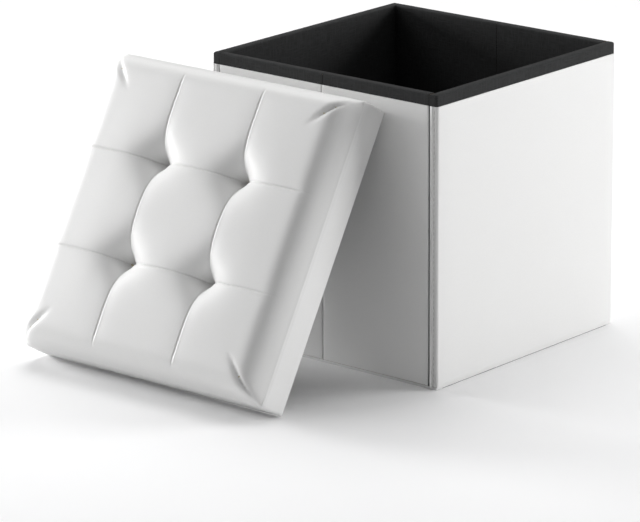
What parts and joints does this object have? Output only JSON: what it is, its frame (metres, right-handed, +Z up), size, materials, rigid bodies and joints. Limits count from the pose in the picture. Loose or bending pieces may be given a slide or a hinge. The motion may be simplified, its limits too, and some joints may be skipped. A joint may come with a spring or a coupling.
{
  "type": "folding storage ottoman",
  "caption": "Cube-shaped folding storage ottoman in white leather-look material with a black-lined open box and a loose, tufted, padded lid that leans against its side.",
  "frame": {"origin": "middle of the box footprint, on the floor", "axes": "+Z up, -Y out of the front wall, -X out of the folding side that the lid leans against"},
  "size_m": [0.5874, 0.458, 0.361],
  "materials": {
    "white_leather": "satin, fine grain",
    "black_lining": "matt non-woven felt",
    "fibreboard": "raw",
    "foam": "open-cell foam",
    "white_thread": "twisted thread",
    "steel_wire": "galvanised"
  },
  "bodies": {
    "base": {"base_board": "fibreboard", "base_cover": "white_leather", "base_lining": "black_lining", "base_hinge_tape": "black_lining"},
    "front_wall": {"front_wall_board": "fibreboard", "front_wall_cover": "white_leather", "front_wall_lining": "black_lining", "front_wall_stitches": "white_thread"},
    "left_front_leaf": {"left_front_leaf_board": "fibreboard", "left_front_leaf_cover": "white_leather", "left_front_leaf_lining": "black_lining"},
    "left_back_leaf": {"left_back_leaf_board": "fibreboard", "left_back_leaf_cover": "white_leather", "left_back_leaf_lining": "black_lining"},
    "back_wall": {"back_wall_board": "fibreboard", "back_wall_cover": "white_leather", "back_wall_lining": "black_lining", "back_wall_stitches": "white_thread"},
    "right_front_leaf": {"right_front_leaf_board": "fibreboard", "right_front_leaf_cover": "white_leather", "right_front_leaf_lining": "black_lining"},
    "right_back_leaf": {"right_back_leaf_board": "fibreboard", "right_back_leaf_cover": "white_leather", "right_back_leaf_lining": "black_lining"},
    "swing_knot": {"lid_swing_knot": "white_thread"},
    "lid": {"lid_board": "fibreboard", "lid_foam": "foam", "lid_cover": "white_leather", "lid_border": "white_leather", "lid_lining": "black_lining", "lid_front_strip": "fibreboard", "lid_back_strip": "fibreboard", "lid_left_strip": "fibreboard", "lid_right_strip": "fibreboard", "lid_tuft_threads": "white_thread", "lid_tuft_knots": "white_thread", "lid_staples": "steel_wire"}
  },
  "joints": [
    {"name": "base_hinge", "type": "hinge", "parent": "base", "child": "front_wall", "pos_m": [0, -0.1762, 0.0002], "axis": [1, 0, 0], "range_deg": [0, 92]},
    {"name": "side_fold", "type": "hinge", "parent": "front_wall", "child": "left_front_leaf", "pos_m": [-0.1629, -0.1629, 0], "axis": [0, 0, -1], "range_deg": [0, 90]},
    {"name": "left_middle_fold", "type": "hinge", "parent": "left_front_leaf", "child": "left_back_leaf", "pos_m": [-0.1763, 0, 0], "axis": [0, 0, 1], "range_deg": [0, 180]},
    {"name": "left_back_fold", "type": "hinge", "parent": "left_back_leaf", "child": "back_wall", "pos_m": [-0.1629, 0.1629, 0], "axis": [0, 0, -1], "range_deg": [0, 90]},
    {"name": "right_front_fold", "type": "hinge", "parent": "front_wall", "child": "right_front_leaf", "pos_m": [0.1629, -0.1629, 0], "axis": [0, 0, 1], "range_deg": [0, 90]},
    {"name": "right_middle_fold", "type": "hinge", "parent": "right_front_leaf", "child": "right_back_leaf", "pos_m": [0.1763, 0, 0], "axis": [0, 0, -1], "range_deg": [0, 180]},
    {"name": "lid_swing", "type": "hinge", "parent": "base", "child": "swing_knot", "pos_m": [-0.28322, 0.01802, 0.34781], "axis": [0.347, 0.9379, 0], "range_deg": [0, 260]},
    {"name": "lid_turn", "type": "hinge", "parent": "swing_knot", "child": "lid", "pos_m": [-0.31199, 0.02867, 0.11515], "axis": [-0.2348, -0.9625, -0.1356], "range_deg": [0, 202.78]}
  ],
  "couplings": [
    {"joint": "left_middle_fold", "follows": "side_fold", "ratio": 2},
    {"joint": "left_back_fold", "follows": "side_fold", "ratio": 1},
    {"joint": "right_front_fold", "follows": "side_fold", "ratio": 1},
    {"joint": "right_middle_fold", "follows": "side_fold", "ratio": 2},
    {"joint": "lid_turn", "follows": "lid_swing", "ratio": 0.77991}
  ]
}
